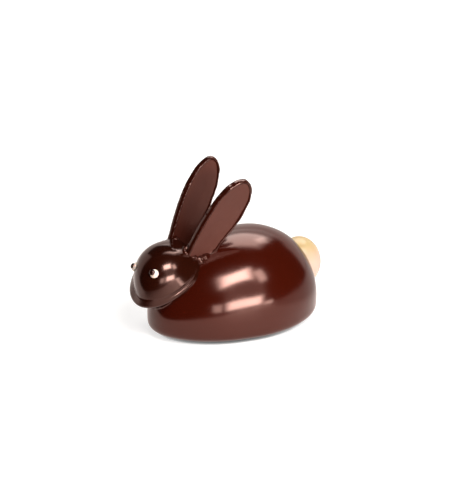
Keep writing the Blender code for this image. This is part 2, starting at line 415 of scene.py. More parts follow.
def egg_tree():
    tree, given = new_tree("egg_body", EGG_INPUTS)
    sphere = add_node(tree, "GeometryNodeMeshUVSphere",
                      links={"Segments": given["Around"], "Rings": given["Rings"]})
    here = add_node(tree, "ShaderNodeSeparateXYZ",
                    links={0: tree.nodes.new("GeometryNodeInputPosition").outputs[0]})
    x, y, z = here.outputs

    # Below the widest line the outline keeps its plan and only rounds in at the very foot.
    # The height is stretched by a hair, so that rounding never leaves the foot's pole above it
    down = calc(tree, "MINIMUM", calc(tree, "MAXIMUM", calc(tree, "MULTIPLY", z, -1.001), 0.0), 1.0)
    drop = calc(tree, "SINE", calc(tree, "MULTIPLY", down, math.pi / 2))
    square = given["Foot Squareness"]
    left = calc(tree, "MAXIMUM", calc(tree, "SUBTRACT", 1.0, calc(tree, "POWER", drop, square)), 0.0)
    reach = calc(tree, "POWER", left, calc(tree, "DIVIDE", 1.0, square))
    out_squared = calc(tree, "MULTIPLY_ADD", z, calc(tree, "MULTIPLY", z, -1.0), 1.0)
    out = calc(tree, "SQRT", calc(tree, "MAXIMUM", out_squared, 1e-9))
    below = calc(tree, "LESS_THAN", z, 0.0)
    spread = calc(tree, "SUBTRACT", calc(tree, "DIVIDE", reach, out), 1.0)
    factor = calc(tree, "MULTIPLY_ADD", below, spread, 1.0)

    # The plan is an oval that widens towards the rump, and the back rises towards it
    flat_x = calc(tree, "MULTIPLY", x, factor)
    flat_y = calc(tree, "MULTIPLY", y, factor)
    wider = calc(tree, "MULTIPLY_ADD", given["Rump Wider"], flat_x, 1.0)
    new_x = calc(tree, "MULTIPLY", calc(tree, "DIVIDE", given["Length"], 2.0), flat_x)
    half_width = calc(tree, "DIVIDE", given["Width"], 2.0)
    new_y = calc(tree, "MULTIPLY", calc(tree, "MULTIPLY", half_width, flat_y), wider)
    foot = calc(tree, "MULTIPLY", given["Widest At"], calc(tree, "SUBTRACT", 1.0, drop))
    rise = calc(tree, "MULTIPLY", calc(tree, "SUBTRACT", given["Height"], given["Widest At"]),
                calc(tree, "MAXIMUM", z, 0.0))
    higher = calc(tree, "MULTIPLY_ADD", given["Rump Higher"], x, 1.0)
    new_z = calc(tree, "MULTIPLY_ADD", rise, higher, foot)
    place = add_node(tree, "ShaderNodeCombineXYZ", links={0: new_x, 1: new_y, 2: new_z})
    egg = add_node(tree, "GeometryNodeSetPosition",
                   links={"Geometry": sphere.outputs["Mesh"], "Position": place.outputs[0]})

    # Waves along the normals fade out at the foot, which stays flat on the table
    waves = add_node(tree, "ShaderNodeTexNoise", inputs={"Detail": 1.0},
                     links={"Vector": tree.nodes.new("GeometryNodeInputPosition").outputs[0],
                            "Scale": calc(tree, "DIVIDE", 1.0, given["Wave Length"])})
    swing = calc(tree, "MULTIPLY", calc(tree, "SUBTRACT", waves.outputs[0], 0.5), 2.0)
    where = add_node(tree, "ShaderNodeSeparateXYZ",
                     links={0: tree.nodes.new("GeometryNodeInputPosition").outputs[0]})
    fade = calc(tree, "MINIMUM", calc(tree, "DIVIDE", where.outputs[2], WAVES_END_BELOW), 1.0)
    height = calc(tree, "MULTIPLY", calc(tree, "MULTIPLY", swing, given["Wave Height"]), fade)
    push = add_node(tree, "ShaderNodeVectorMath", {"operation": "SCALE"},
                    links={0: tree.nodes.new("GeometryNodeInputNormal").outputs[0], "Scale": height})
    wavy = add_node(tree, "GeometryNodeSetPosition",
                    links={"Geometry": egg.outputs[0], "Offset": push.outputs[0]})
    close_tree(tree, wavy.outputs[0], given["Chocolate"])
    return tree


egg_maker = egg_tree()
print("the egg's tree has", len(egg_maker.nodes), "nodes")

# %% Body
BODY_LENGTH = 108.5 * MM
BODY_WIDTH = 77.3 * MM
BODY_HEIGHT = 56.6 * MM
BODY_WIDEST_AT = 11.9 * MM
BODY_RUMP_WIDER = 0.13
BODY_RUMP_HIGHER = 0.16
BODY_FOOT_SQUARENESS = 4.9

body = grown_piece("chocolate_body", egg_maker, {
    "Length": BODY_LENGTH, "Width": BODY_WIDTH, "Height": BODY_HEIGHT,
    "Widest At": BODY_WIDEST_AT, "Rump Wider": BODY_RUMP_WIDER, "Rump Higher": BODY_RUMP_HIGHER,
    "Foot Squareness": BODY_FOOT_SQUARENESS, "Wave Length": 34 * MM, "Wave Height": 0.6 * MM,
    "Around": 220, "Rings": 130, "Chocolate": moulded,
})
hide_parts("body")
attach(body, "root")

# %% [markdown]
# ## The head
#
# A small half egg from the same kind of mould. Its rim was melted on a warm plate and
# pressed on, which squeezed out a brim that is wide at the front, thin under the chin, and
# ends in a lip on the bunny's left. A sculpted head would lose the mould's clean curve, so a
# profile is turned round, and one rule then makes it an egg, spreads the brim and builds the
# crown up where the ears were stuck on.

# %% Sizes of the head
HEAD_LENGTH = 40.8 * MM
HEAD_WIDTH = 35.8 * MM
HEAD_RISE = 19.5 * MM
HEAD_NOSE_NARROWER = 0.10
HEAD_AT = Vector((-44.4, 0.4, 36.9)) * MM
HEAD_TURN = math.radians(26)
HEAD_NOD = math.radians(29)
HEAD_ROLL = math.radians(-1)
BRIM_REACH = 2.4 * MM
BRIM_THICKNESS = 3.4 * MM
BRIM_DROP = 1.0 * MM
BRIM_SHIFT = Vector((-0.8, 1.7, 0.0)) * MM
BRIM_FLARES_AT = 3.0 * MM
BRIM_SLOPE = 34
LIP_SLOPE = 70
LIP_EDGE_AT = math.radians(-98)
LIP_FLARES_AT = 11 * MM
WALL_FROM = 8.2 * MM
WALL_SPREAD = 0.47
BRIM_LIP = 2.8 * MM
BRIM_LIP_AT = math.radians(-62)
NECK_SHARE = 0.8
NECK_DEPTH = 12 * MM
NECK_TAPER = 0.95
# Melted chocolate that builds the head up in front of each ear: middle, height and reach
SADDLES = (
    (Vector((19.0, 3.0, 5.0)) * MM, 3.0 * MM, 8.0 * MM),
    (Vector((14.0, -12.0, 4.0)) * MM, 2.5 * MM, 7.0 * MM),
)
SADDLE_WAY = Vector((0.85, -0.10, 0.52))

turn_and_nod = [round(math.degrees(angle)) for angle in (HEAD_TURN, HEAD_NOD)]
print("head turned and nodding by", turn_and_nod, "degrees")

# %% Wall and brim of the head
BRIM_FLAT_SHARE = 0.4


def dome_radius(height):
    return HEAD_LENGTH / 2 * math.sqrt(max(0.0, 1 - (height / HEAD_RISE) ** 2))


def wall_radius(height, near):
    """The dome's radius, which near the viewer runs down straight to the brim."""
    below = max(0.0, WALL_FROM - height)
    straight = dome_radius(WALL_FROM) + below * WALL_SPREAD
    return dome_radius(height) + near * max(0.0, straight - dome_radius(height)) * (below > 0)


def brim_point(along, lip, near):
    """From the foot of the dome, at 0, over the brim to its underside, at 1.

    The brim is a steep skirt, and where lip is 1 a flat rim with a round edge.
    """
    edge = BRIM_THICKNESS / 2
    top = BRIM_THICKNESS / 2 - BRIM_DROP
    start = BRIM_SLOPE + (LIP_SLOPE - BRIM_SLOPE) * lip
    round_the_edge = max(0.0, along - BRIM_FLAT_SHARE) / (1 - BRIM_FLAT_SHARE)
    angle = math.radians(start - (start + 90) * round_the_edge)
    on_edge = Vector((BRIM_REACH - edge + edge * math.cos(angle), top - edge + edge * math.sin(angle)))
    if along >= BRIM_FLAT_SHARE:
        return on_edge
    t = along / BRIM_FLAT_SHARE
    foot = Vector((wall_radius(BRIM_FLARES_AT, near) - HEAD_LENGTH / 2, BRIM_FLARES_AT))
    corner = ((foot + on_edge) / 2).lerp(Vector((0.0, top)), lip)
    return foot * (1 - t) ** 2 + corner * 2 * t * (1 - t) + on_edge * t ** 2


print("near wall at the brim:", round(wall_radius(BRIM_FLARES_AT, 1.0) / MM, 1), "mm from the middle,",
      "far wall:", round(wall_radius(BRIM_FLARES_AT, 0.0) / MM, 1))

# %% Profile of the head, and the rule that shapes it
LIP_EDGE_NARROWNESS = 6
BRIM_LIP_NARROWNESS = 8
# The straight wall is full where the sine of the bearing is below 0.16, and gone above 0.56
NEAR_FULL = 1.4
NEAR_FADE = 2.5


def head_profile(dome_steps, brim_steps):
    """From the crown over the dome, out for the brim (shaped by the rule), in to the neck."""
    half = HEAD_LENGTH / 2
    lowest = math.asin(BRIM_FLARES_AT / HEAD_RISE)
    profile = []
    for step in range(dome_steps + 1):
        angle = math.pi / 2 - (math.pi / 2 - lowest) * step / dome_steps
        profile.append((half * math.cos(angle), HEAD_RISE * math.sin(angle)))
    for step in range(1, brim_steps + 1):
        profile.append((half + BRIM_REACH * step / brim_steps, 0.0))
    neck = half * NECK_SHARE
    underside = -BRIM_DROP - BRIM_THICKNESS / 2
    profile += [(neck, underside), (neck * NECK_TAPER, -NECK_DEPTH), (0.0, -NECK_DEPTH)]
    return profile


def head_rule(point):
    """Makes the turned head an egg, its brim uneven, and builds it up towards the ears."""
    half = HEAD_LENGTH / 2
    angle = math.atan2(point.y, point.x)
    out = Vector((math.cos(angle), math.sin(angle), 0.0))
    at_lip = max(0.0, math.cos(angle - BRIM_LIP_AT))
    near = min(1.0, max(0.0, NEAR_FULL - NEAR_FADE * math.sin(angle)))
    along = (math.hypot(point.x, point.y) - half) / BRIM_REACH
    share = 0.0
    if along > 0.0:
        lip = max(0.0, math.cos(angle - LIP_EDGE_AT)) ** LIP_EDGE_NARROWNESS
        beyond, height = brim_point(along, lip, near)
        point = out * (half + beyond) + Vector((0, 0, height))
        share = min(1.0, max(0.0, beyond / BRIM_REACH))
    elif point.z > 0.0:
        radius = dome_radius(point.z)
        point = point + out * (wall_radius(point.z, near) - radius)
    flare = share
    if point.z > -BRIM_DROP:
        flare = max(0.0, 1 - max(0.0, point.z) / LIP_FLARES_AT) ** 2
    taper = 1 + HEAD_NOSE_NARROWER * point.x / half
    egg = Vector((point.x, point.y * HEAD_WIDTH / HEAD_LENGTH * taper, point.z))
    made = egg + BRIM_SHIFT * share + out * BRIM_LIP * at_lip ** BRIM_LIP_NARROWNESS * flare
    for middle, height, reach in SADDLES:
        made += SADDLE_WAY * height * math.exp(-((egg - middle).length / reach) ** 2)
    return made


profile_points = head_profile(dome_steps=60, brim_steps=24)
print("head profile of", len(profile_points), "points")


# %% Head
HEAD_AROUND = 180
# Length, height and seed of the waves in the surface
HEAD_WAVES = [(18 * MM, 0.2 * MM, 2.0), (6 * MM, 0.06 * MM, 5.0)]


def head_matrix():
    """Puts a point of the upright head in its place, turned and nodding."""
    return (
        Matrix.Translation(HEAD_AT)
        @ Matrix.Rotation(HEAD_TURN, 4, "Z")
        @ Matrix.Rotation(-HEAD_NOD, 4, "Y")
        @ Matrix.Rotation(HEAD_ROLL, 4, "X")
    )


head_shape = turned(profile_points, HEAD_AROUND, head_rule, head_matrix())
head = made_piece("chocolate_head", head_shape, HEAD_WAVES)
# The head's darker chocolate is painted shade
head.data.materials.append(head_shade_chocolate)
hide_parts("head")
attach(head, "root")

# %% [markdown]
# ## The ears
#
# Leaf plates. One side lay in the mould and is rounded and glossy, the other is the open face
# of the pour: satin, almost flat, with a small raised lip where the chocolate climbed the
# mould's edge. The outline wanders a little, as scraped chocolate does, and the near ear has
# a nick in its rear edge. An extruded outline would have a flat rim of the same height all
# round, so the section from the middle to the rim is turned into a disc, and a rule spreads
# the disc over the leaf with a rim that stays equally wide.

# %% Sizes of the ears
EAR_WIDTH = 21.0 * MM
EAR_TIP_WIDER = 0.30
EAR_FOOT_BLUNTNESS = 2.8
EAR_FACE = 0.6 * MM
EAR_DISH = 0.5 * MM
EAR_LIP = 0.5 * MM
EAR_LIP_INSET = 1.1 * MM
EAR_RIM = 2.4 * MM
EAR_BACK = 6.0 * MM
EAR_MIDDLE = 0.58
EARS = {
    "ear_left": {
        "foot": Vector((-34.7, -7.2, 39.1)) * MM,
        "tip": Vector((0.3, -18.0, 92.8)) * MM,
        "faces": Vector((-0.07, -0.98, -0.20)),
    },
    "ear_right": {
        "foot": Vector((-36.0, 11.1, 36.5)) * MM,
        "tip": Vector((-1.3, 18.0, 97.2)) * MM,
        "faces": Vector((0.14, -0.98, 0.07)),
    },
}
EAR_DISC = 10 * MM
EAR_WANDER = 0.3 * MM
EAR_LUMP = 0.30 * MM
NICK = {"ear": "ear_left", "at": math.radians(-3), "wide": math.radians(7), "deep": 0.7 * MM}


for name, ear in EARS.items():
    print(name, "of", round((ear["tip"] - ear["foot"]).length / MM, 1), "mm from foot to tip")


# %% Outline and section of an ear
def leaf_outline(angle, length):
    """A point of the ear's outline, with X across and Y from the foot at 0 to the tip."""
    along = math.sin(angle)
    across = math.cos(angle)
    if along < 0:
        power = 2 / EAR_FOOT_BLUNTNESS
        along = -abs(along) ** power
        across = math.copysign(abs(across) ** power, across)
    across *= 1 + EAR_TIP_WIDER * along
    return Vector((EAR_WIDTH / 2 * across, length / 2 * (1 + along), 0.0))


def smooth_line(points, steps):
    """A curve through the points, each stretch in the given number of steps."""
    made = []
    ends = [points[0] * 2 - points[1]] + points + [points[-1] * 2 - points[-2]]
    for before, first, second, after in zip(ends, ends[1:], ends[2:], ends[3:]):
        for step in range(steps):
            t = step / steps
            spot = 2 * first + (second - before) * t
            spot += (2 * before - 5 * first + 4 * second - after) * t ** 2
            spot += (3 * first - before - 3 * second + after) * t ** 3
            made.append(spot / 2)
    return made + [points[-1]]


def ear_profile(steps):
    """From the middle of the hollow face out over the lip, round the edge, to the back."""
    outer = EAR_DISC + EAR_RIM
    face = EAR_FACE
    lip = outer - EAR_LIP_INSET
    points = [
        (0.0, face - EAR_DISH),
        (EAR_DISC * 0.5, face - EAR_DISH * 0.8),
        (EAR_DISC, face - EAR_DISH * 0.3),
        (lip - 0.9 * MM, face - EAR_DISH * 0.1),
        (lip - 0.5 * MM, face + EAR_LIP * 0.8),
        (lip, face + EAR_LIP * 1.3),
        (lip + 0.5 * MM, face + EAR_LIP * 0.8),
        (outer - 0.05 * MM, face - 0.8 * MM),
        (outer, -0.3 * EAR_BACK),
        (outer - 0.7 * MM, -0.5 * EAR_BACK),
        (EAR_DISC, -0.74 * EAR_BACK),
        (EAR_DISC * 0.55, -0.95 * EAR_BACK),
        (0.0, -EAR_BACK),
    ]
    return smooth_line([Vector(point) for point in points], steps)


section_points = ear_profile(steps=5)
print("ear section of", len(section_points), "points")


# %% Rule and place of an ear
# Lengths of the lumps on the rim, and how high the short ones are beside the long ones
LONG_LUMP = 3.4 * MM
SHORT_LUMP = 1.7 * MM
SHORT_LUMP_SHARE = 0.55
WANDER_LENGTH = 9 * MM
# A small step along a curve, to find which way it runs
SMALL_STEP = 0.01


def ear_rule(name, length):
    """Spreads a turned disc over a leaf, keeping the rim equally wide all the way round."""
    step = SMALL_STEP

    def rule(point):
        radius = math.hypot(point.x, point.y)
        angle = math.atan2(point.y, point.x)
        here = leaf_outline(angle, length)
        tangent = leaf_outline(angle + step, length) - leaf_outline(angle - step, length)
        inward = Vector((0, 0, 1)).cross(tangent).normalized()
        inset = max(0.0, EAR_DISC + EAR_RIM - max(radius, EAR_DISC))
        lump = wave(here, LONG_LUMP, EAR_LUMP, length / MM)
        lump += wave(here, SHORT_LUMP, EAR_LUMP * SHORT_LUMP_SHARE, 2.0)
        lump *= max(0.0, (radius - EAR_DISC) / EAR_RIM)
        inset += wave(here, WANDER_LENGTH, EAR_WANDER, 6.0 + length / MM) - lump
        if name == NICK["ear"]:
            inset += NICK["deep"] * math.exp(-((angle - NICK["at"]) / NICK["wide"]) ** 2)
        flat = here + inward * inset
        if radius < EAR_DISC:
            middle = Vector((0.0, length * EAR_MIDDLE, 0.0))
            flat = middle + (flat - middle) * (radius / EAR_DISC)
        return Vector((flat.x, flat.y, point.z + lump))
    return rule


def ear_matrix(foot, tip, faces):
    """Stands an ear on foot, pointing at tip, with its hollow side turned to faces."""
    up = (tip - foot).normalized()
    side = up.cross(faces).normalized()
    out = side.cross(up)
    return Matrix.Translation(foot) @ Matrix((side, up, out)).transposed().to_4x4()


def ear_finish(radius, height):
    """0 for the satin face of the pour, 1 for the glossy lip, edge and back."""
    inside_lip = EAR_DISC + EAR_RIM - EAR_LIP_INSET - 0.8 * MM
    return 0 if height > -1 * MM and radius < inside_lip else 1


print("finish of an ear's middle:", ear_finish(0.0, 0.0), "and edge:", ear_finish(EAR_DISC + EAR_RIM, 0.0))

# %% Ears
EAR_AROUND = 340
EAR_WAVES = [(12 * MM, 0.2 * MM, 3.0), (5 * MM, 0.1 * MM, 8.0), (2.2 * MM, 0.05 * MM, 9.0)]

for name, ear in EARS.items():
    length = (ear["tip"] - ear["foot"]).length
    shape = turned(section_points, EAR_AROUND, ear_rule(name, length), ear_matrix(**ear), ear_finish)
    piece = made_piece("chocolate_" + name, shape, EAR_WAVES)
    piece.data.materials.append(poured)
    piece.data.materials.append(melted)
    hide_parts(name)
    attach(piece, "root")

# %% [markdown]
# ## The tail
#
# A ball of white chocolate, a little higher than wide, stuck to the rump. It is a sphere with
# three half sizes, and slow waves take the look of a lathe away.

# %% Tail
TAIL_AT = Vector((48.0, 0.0, 27.0)) * MM
TAIL_HALF_SIZE = Vector((13.7, 13.0, 16.0)) * MM
TAIL_WAVES = [(9 * MM, 0.3 * MM, 4.0)]


def tail_rule(unit):
    half = TAIL_HALF_SIZE
    return TAIL_AT + Vector((unit.x * half.x, unit.y * half.y, unit.z * half.z))


tail = made_piece("chocolate_tail", ball(tail_rule, 96, 64), TAIL_WAVES)
tail.data.materials.append(tail_white)
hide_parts("tail")
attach(tail, "root")

# %% [markdown]
# ## The eyes
#
# Two dots of white chocolate with a smaller dot of dark chocolate on each, piped by hand, so
# the dark one sits a little off centre. A piped dot is a flat drop: half a ball above and a
# flatter half below, which sinks into what it lies on. Its place is a share of the dome's
# length and width, so that it stays on the dome if the head's sizes change.

# %% Drops and their places on the dome
EYE_WIDTH = 5.1 * MM
EYE_RISE = 1.7 * MM
PUPIL_WIDTH = 3.4 * MM
PUPIL_RISE = 1.2 * MM
SUNK_SHARE = 0.6
PUPIL_AT_SHARE = 0.8
EYES = {
    "left": {"place": (-0.51, -0.325), "pupil_shift": Vector((0.2, 1.1, 0.0)) * MM},
    "right": {"place": (-0.34, 0.71), "pupil_shift": Vector((0.0, -0.4, 0.0)) * MM},
}


def drop_rule(width, rise):
    """A ball pressed flat to a width and a rise, and flatter still underneath."""
    def rule(unit):
        height = rise if unit.z >= 0 else rise * SUNK_SHARE
        return Vector((width / 2 * unit.x, width / 2 * unit.y, height * unit.z))
    return rule


def dome_point(back, out):
    """A point of the head's dome, from its shares of the half length and half width."""
    up = math.sqrt(1 - back ** 2 - out ** 2)
    width = HEAD_WIDTH / 2 * (1 + HEAD_NOSE_NARROWER * back)
    return Vector((HEAD_LENGTH / 2 * back, width * out, HEAD_RISE * up))


def eye_matrix(back, out):
    """The place on the dome where an eye sits, with Z straight out of the chocolate."""
    spot = dome_point(back, out)
    along = dome_point(back + SMALL_STEP, out) - spot
    across = dome_point(back, out + SMALL_STEP) - spot
    turn = Vector((0, 0, 1)).rotation_difference(along.cross(across)).to_matrix().to_4x4()
    return head_matrix() @ Matrix.Translation(spot) @ turn


for name, eye in EYES.items():
    middle = eye_matrix(*eye["place"]).translation
    print(name, "eye at", [round(c / MM, 1) for c in middle], "mm")

# %% Eyes
for name, eye in EYES.items():
    spot = eye_matrix(*eye["place"])
    dot = made_piece("white_dot_" + name, ball(drop_rule(EYE_WIDTH, EYE_RISE), 48, 24, spot))
    dot.data.materials.append(eye_white)
    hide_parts("eye_" + name)
    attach(dot, "root")
    on_dot = spot @ Matrix.Translation(eye["pupil_shift"] + Vector((0, 0, EYE_RISE * PUPIL_AT_SHARE)))
    bead = made_piece("dark_dot_" + name, ball(drop_rule(PUPIL_WIDTH, PUPIL_RISE), 40, 20, on_dot))
    bead.data.materials.append(glossy)
    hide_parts("pupil_" + name)
    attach(bead, "root")

# %% [markdown]
# ## Beads of melted chocolate
#
# Each piece was dipped in melted chocolate and held until it set, which leaves a bead round
# its foot. One tree makes them all: it drops a ring onto the pieces that are being joined,
# along the way that the piece was pushed on, and grows an uneven tube on the line where it
# lands.

# %% The bead as a node tree
PUSH_REACH = 200 * MM
THINNEST_BEAD = 0.1 * MM
RING_POINTS = 160
LINE_POINTS = 150
TUBE_SIDES = 14
BEAD_INPUTS = {
    "Onto": body, "Ring Width": 0.0, "Ring Depth": 0.0, "Centre": Vector(), "Across": Vector(),
    "Over": Vector(), "Push": Vector(), "Thickness": 0.0, "Uneven": 0.0, "Lump Length": 0.0,
    "Chocolate": melted,
}


def scaled(tree, vector, factor):
    """A vector times a number."""
    return add_node(tree, "ShaderNodeVectorMath", {"operation": "SCALE"},
                    links={0: vector, "Scale": factor}).outputs[0]


def added(tree, *vectors):
    """The sum of some vectors."""
    total = vectors[0]
    for vector in vectors[1:]:
        total = add_node(tree, "ShaderNodeVectorMath", {"operation": "ADD"},
                         links={0: total, 1: vector}).outputs[0]
    return total


def bead_tree():
    tree, given = new_tree("melted_bead", BEAD_INPUTS)
    round_line = {"Resolution": RING_POINTS, "Radius": 1.0}
    ring = add_node(tree, "GeometryNodeCurvePrimitiveCircle", inputs=round_line)
    here = add_node(tree, "ShaderNodeSeparateXYZ",
                    links={0: tree.nodes.new("GeometryNodeInputPosition").outputs[0]})
    across = scaled(tree, given["Across"], calc(tree, "MULTIPLY", here.outputs[0], given["Ring Width"]))
    over = scaled(tree, given["Over"], calc(tree, "MULTIPLY", here.outputs[1], given["Ring Depth"]))
    start = added(tree, given["Centre"], across, over)
    target = add_node(tree, "GeometryNodeObjectInfo", {"transform_space": "ORIGINAL"},
                      links={"Object": given["Onto"]})
    cast = add_node(tree, "GeometryNodeRaycast", inputs={"Ray Length": PUSH_REACH},
                    links={"Target Geometry": target.outputs["Geometry"], "Source Position": start,
                           "Ray Direction": given["Push"]})
    landed = add_node(tree, "GeometryNodeSetPosition",
                      links={"Geometry": ring.outputs[0], "Position": cast.outputs["Hit Position"]})
    lumps = add_node(tree, "ShaderNodeTexNoise", inputs={"Detail": 2.0},
                     links={"Vector": tree.nodes.new("GeometryNodeInputPosition").outputs[0],
                            "Scale": calc(tree, "DIVIDE", 1.0, given["Lump Length"])})
    swing = calc(tree, "MULTIPLY", calc(tree, "SUBTRACT", lumps.outputs[0], 0.5), given["Uneven"])
    half_thick = calc(tree, "DIVIDE", given["Thickness"], 2.0)
    size = calc(tree, "MULTIPLY_ADD", swing, given["Thickness"], half_thick)
    even = add_node(tree, "GeometryNodeResampleCurve", inputs={"Count": LINE_POINTS},
                    links={0: landed.outputs[0]})
    round_section = {"Resolution": TUBE_SIDES, "Radius": 1.0}
    outline = add_node(tree, "GeometryNodeCurvePrimitiveCircle", inputs=round_section)
    radius = calc(tree, "MAXIMUM", size, THINNEST_BEAD)
    thick_line = add_node(tree, "GeometryNodeSetCurveRadius",
                          links={"Curve": even.outputs[0], "Radius": radius})
    tube = add_node(tree, "GeometryNodeCurveToMesh",
                    links={"Curve": thick_line.outputs[0], "Profile Curve": outline.outputs[0]})
    # Some versions scale the section by the line's own radius, the others ask for it
    if "Scale" in tube.inputs:
        own_radius = tree.nodes.new("GeometryNodeInputRadius")
        tree.links.new(own_radius.outputs[0], tube.inputs["Scale"])
    close_tree(tree, tube.outputs[0], given["Chocolate"])
    return tree


bead_maker = bead_tree()
print("the bead's tree has", len(bead_maker.nodes), "nodes")


# %% Where the beads go
BEHIND_EAR_FACE = 2.1 * MM
ABOVE_NECK = 14 * MM
BEHIND_TAIL = 30 * MM


def joined_copy(name, pieces):
    """One hidden mesh of several pieces, for the beads to land on."""
    bm = bmesh.new()
    for piece in pieces:
        bm.from_mesh(piece.data)
    mesh = bpy.data.meshes.new(name)
    bm.to_mesh(mesh)
    bm.free()
    thing = bpy.data.objects.new(name, mesh)
    bpy.context.scene.collection.objects.link(thing)
    return thing


ground = joined_copy("body_and_head", [body, head])
BEADS = {}
for name, ear in EARS.items():
    matrix = ear_matrix(**ear).to_3x3()
    length = (ear["tip"] - ear["foot"]).length
    BEADS["bead_" + name] = {
        "Onto": ground, "Ring Width": 8.6 * MM, "Ring Depth": 3.2 * MM,
        "Centre": ear["tip"] - matrix.col[2] * BEHIND_EAR_FACE,
        "Across": matrix.col[0], "Over": matrix.col[2], "Push": -matrix.col[1],
        "Thickness": 3.2 * MM, "Uneven": 2.0, "Lump Length": 4.5 * MM, "Chocolate": melted,
    }
turn = head_matrix().to_3x3()
BEADS["bead_neck"] = {
    "Onto": body, "Ring Width": HEAD_LENGTH / 2 * NECK_SHARE, "Ring Depth": HEAD_WIDTH / 2 * NECK_SHARE,
    "Centre": HEAD_AT + turn.col[2] * ABOVE_NECK, "Across": turn.col[0], "Over": turn.col[1],
    "Push": -turn.col[2], "Thickness": 1.8 * MM, "Uneven": 1.4, "Lump Length": 8 * MM, "Chocolate": melted,
}
BEADS["bead_tail"] = {
    "Onto": body, "Ring Width": 11.2 * MM, "Ring Depth": 13.6 * MM,
    "Centre": TAIL_AT + Vector((BEHIND_TAIL, 0, 0)),
    "Across": Vector((0, 1, 0)), "Over": Vector((0, 0, 1)), "Push": Vector((-1, 0, 0)),
    "Thickness": 1.3 * MM, "Uneven": 1.4, "Lump Length": 7 * MM, "Chocolate": melted,
}
print("beads planned:", sorted(BEADS))

# %% Beads round the ears, the neck and the tail
for name, values in BEADS.items():
    bead = grown_piece(name, bead_maker, values)
    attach(bead, "root")
bpy.data.objects.remove(ground, do_unlink=True)

# %% [markdown]
# ## The studio
#
# Polished chocolate shows its surroundings, so the studio matters as much as the finish. The
# bunny stands on a white table in front of a white wall, and the room behind the camera is
# dark. Everything is placed by the compass bearing and the height at which its reflection
# shows in the chocolate, because that is how a photographer's set can be read back from a
# picture.

# %% Directions and soft edges
def bearing_vector(bearing, height):
    """The direction at a compass bearing from -Y (positive to +X) and a height, in degrees."""
    flat = math.cos(math.radians(height))
    turn = math.radians(bearing)
    return Vector((math.sin(turn) * flat, -math.cos(turn) * flat, math.sin(math.radians(height))))


def flat_square(name, size):
    """A flat square of the given side round the origin."""
    bm = bmesh.new()
    bmesh.ops.create_grid(bm, x_segments=1, y_segments=1, size=size / 2)
    mesh = bpy.data.meshes.new(name)
    bm.to_mesh(mesh)
    bm.free()
    thing = bpy.data.objects.new(name, mesh)
    bpy.context.scene.collection.objects.link(thing)
    return thing


def soft_step(tree, value, low, high, at_low, at_high):
    """at_low below one edge and at_high above the other, with a soft step between."""
    return add_node(tree, "ShaderNodeMapRange", {"interpolation_type": "SMOOTHSTEP"},
                    {"From Min": low, "From Max": high, "To Min": at_low, "To Max": at_high},
                    {"Value": value}).outputs["Result"]


print("the bearing of 90 degrees is", [round(c) for c in bearing_vector(90, 0)])

# %% [markdown]
# ## The table
#
# The table is a white board that glows a little, as paper does in a bright studio, so that it
# stays as white as the wall. To the camera it is white everywhere. The chocolate mirrors a
# board with two dark corners, one beyond the nose on the camera's side and a fainter one
# beyond the tail, which darken its reflection at both ends of the bunny. Where the bunny
# stands, ambient occlusion paints a thin grey line of contact shade into the table's glow and
# colour, and far away the glow rises, so that no edge shows between the table and the wall.

# %% Table paint
TABLE_GLOW = 0.68
TABLE_PAINT = "#a8a8a8"
FAR_GLOW = 0.4
FAR_FROM = 150 * MM
FAR_TO = 500 * MM
# Reach and depth of the painted contact shade round the bunny's foot
CONTACT_SHADE_REACH = 1.9 * MM
CONTACT_SHADE_DEPTH = 1.5
# The white board under the bunny as the chocolate mirrors it: each dark corner has its
# share of dimming and the edges it lies beyond, by bearing, distance and softness
DARK_CORNERS = (
    (1.0, ((-80, 116 * MM, 14 * MM), (-40, 78 * MM, 15 * MM))),
    (0.4, ((95, 90 * MM, 25 * MM),)),
)
BOARD_COLOUR = (1.0, 0.84, 0.78, 1.0)

table_paint, tree, shader = new_material("white_table_paint")
place = tree.nodes.new("ShaderNodeTexCoord").outputs["Object"]
board = 1.0
for dimming, edges in DARK_CORNERS:
    dark = dimming
    for bearing, distance, softness in edges:
        away = add_node(tree, "ShaderNodeVectorMath", {"operation": "DOT_PRODUCT"},
                        {1: bearing_vector(bearing, 0)}, {0: place}).outputs["Value"]
        beyond = soft_step(tree, away, distance - softness, distance + softness, 0.0, 1.0)
        dark = calc(tree, "MULTIPLY", dark, beyond)
    board = calc(tree, "MULTIPLY", board, calc(tree, "SUBTRACT", 1.0, dark))
# Ambient occlusion paints contact shade where the bunny stands, into the table's glow and paint
contact_shade = add_node(tree, "ShaderNodeAmbientOcclusion", {"samples": 8}, {"Distance": CONTACT_SHADE_REACH})
contact_shade = calc(tree, "POWER", contact_shade.outputs["AO"], CONTACT_SHADE_DEPTH)
camera_sees = tree.nodes.new("ShaderNodeLightPath").outputs["Is Camera Ray"]
lit = calc(tree, "MULTIPLY", calc(tree, "MAXIMUM", board, camera_sees), contact_shade)
white = blend_colours(tree, camera_sees, BOARD_COLOUR, (1.0, 1.0, 1.0, 1.0))
tree.links.new(white, shader.inputs["Emission Color"])
distance = add_node(tree, "ShaderNodeVectorMath", {"operation": "LENGTH"}, links={0: place})
rising_glow = soft_step(tree, distance.outputs["Value"], FAR_FROM, FAR_TO, 0.0, FAR_GLOW)
far = calc(tree, "MULTIPLY", rising_glow, camera_sees)
glow = calc(tree, "ADD", calc(tree, "MULTIPLY", lit, TABLE_GLOW), far)
tree.links.new(glow, shader.inputs["Emission Strength"])
# The paint darkens with the painted contact shade, and with the dark corners in reflections
paint = blend_colours(tree, lit, linear("#000000"), linear(TABLE_PAINT))
tree.links.new(paint, shader.inputs["Base Color"])
shader.inputs["Roughness"].default_value = 0.6
shader.inputs["Specular IOR Level"].default_value = 0.2
print("table paint of", len(tree.nodes), "nodes")

# %% Table
TABLE_SIDE = 6.0
table = flat_square("table", TABLE_SIDE)
table.data.materials.append(table_paint)
print("table of", TABLE_SIDE, "m")

